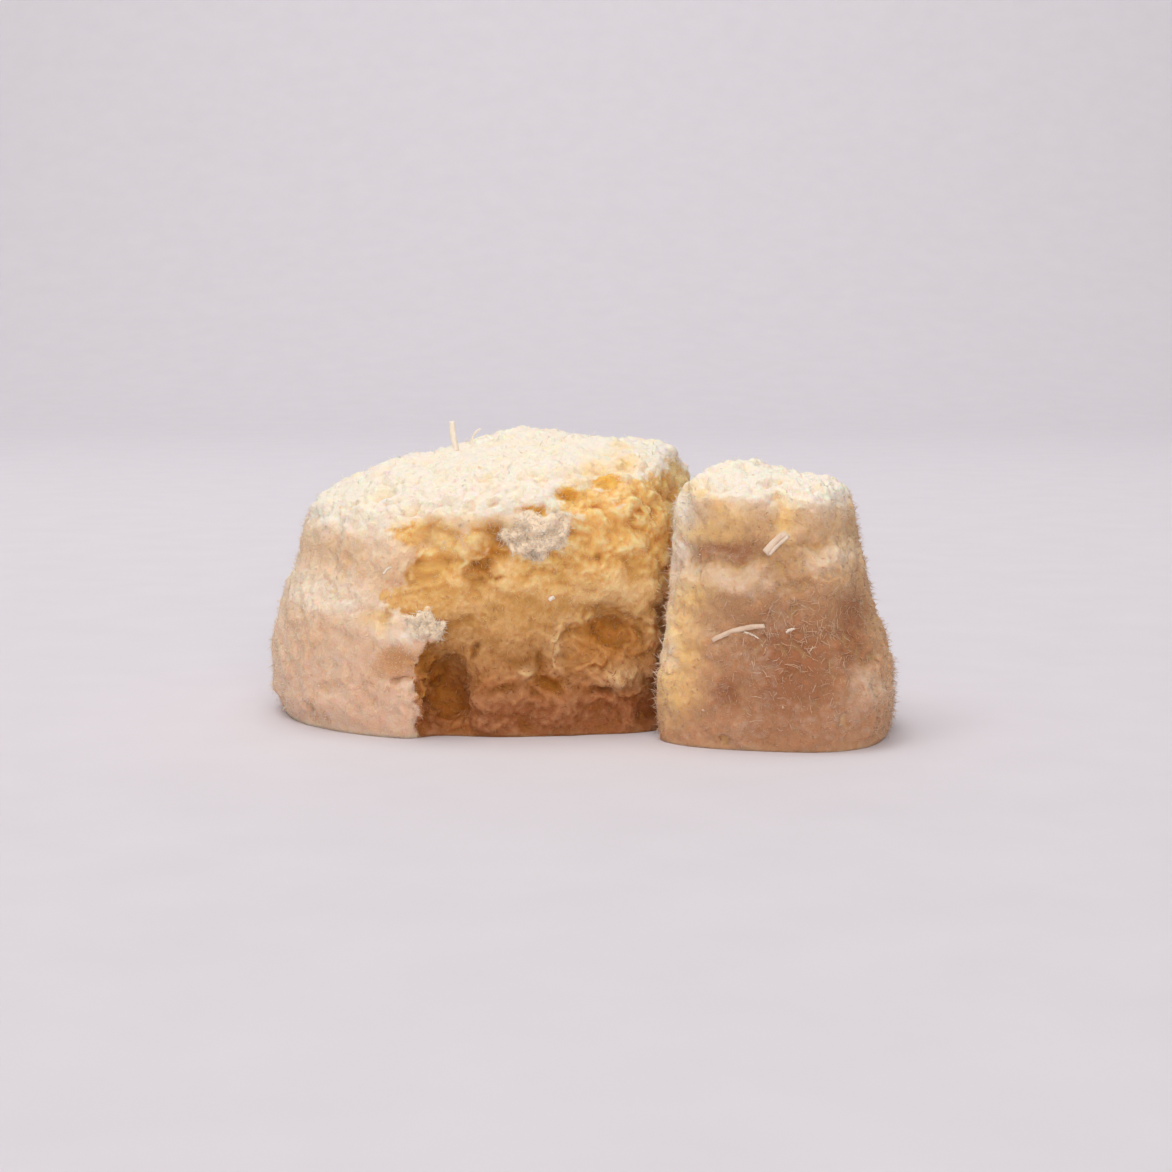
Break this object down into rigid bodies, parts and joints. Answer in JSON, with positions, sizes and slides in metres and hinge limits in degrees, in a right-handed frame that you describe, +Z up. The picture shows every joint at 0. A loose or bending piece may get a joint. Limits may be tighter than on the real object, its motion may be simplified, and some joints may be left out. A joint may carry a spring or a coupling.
{
  "type": "coconut cake",
  "caption": "Low oblong soaked coconut cake rolled in shredded coconut, torn open along the front, with the broken-off corner piece standing in front of the tear.",
  "frame": {"origin": "middle of the common footprint of the cake and its broken-off piece, on the surface they stand on", "axes": "+Z up, -Y out of the torn front, +X towards the broken-off piece"},
  "size_m": [0.1024, 0.0812, 0.0473],
  "materials": {
    "cake_body": "matte, fuzzy with shredded coconut, moist open crumb where torn",
    "broken_piece": "matte, fuzzy with shredded coconut, moist open crumb where torn"
  },
  "bodies": {
    "root": {"cake_body": "cake_body", "broken_piece": "broken_piece"}
  },
  "joints": []
}
